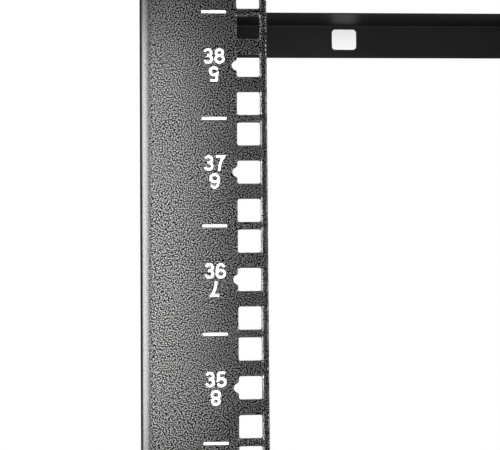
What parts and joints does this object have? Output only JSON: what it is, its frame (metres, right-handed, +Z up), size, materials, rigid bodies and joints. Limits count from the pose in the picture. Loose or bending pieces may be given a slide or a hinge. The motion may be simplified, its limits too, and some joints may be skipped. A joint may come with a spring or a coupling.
{
  "type": "four-post open-frame server rack",
  "caption": "Free-standing four-post open-frame rack of folded black steel, with square equipment holes, cross beams and two-piece side rails.",
  "frame": {"origin": "on the floor, under the middle of the rack", "axes": "+X to the right and +Y to the back as seen from the front, +Z up"},
  "size_m": [0.5556, 0.8, 1.9729],
  "materials": {
    "textured_black_paint": "fine sand-textured powder coat",
    "smooth_black_paint": "smooth satin powder coat"
  },
  "bodies": {
    "root": {"front_left_upright": "textured_black_paint", "front_right_upright": "textured_black_paint", "rear_left_upright": "textured_black_paint", "rear_right_upright": "textured_black_paint", "front_top_beam": "smooth_black_paint", "front_bottom_beam": "smooth_black_paint", "rear_top_beam": "smooth_black_paint", "rear_bottom_beam": "smooth_black_paint", "left_bottom_rail_outer": "smooth_black_paint", "left_bottom_rail_inner": "smooth_black_paint", "left_middle_rail_outer": "smooth_black_paint", "left_middle_rail_inner": "smooth_black_paint", "left_top_rail_outer": "smooth_black_paint", "left_top_rail_inner": "smooth_black_paint", "right_bottom_rail_outer": "smooth_black_paint", "right_bottom_rail_inner": "smooth_black_paint", "right_middle_rail_outer": "smooth_black_paint", "right_middle_rail_inner": "smooth_black_paint", "right_top_rail_outer": "smooth_black_paint", "right_top_rail_inner": "smooth_black_paint"}
  },
  "joints": []
}
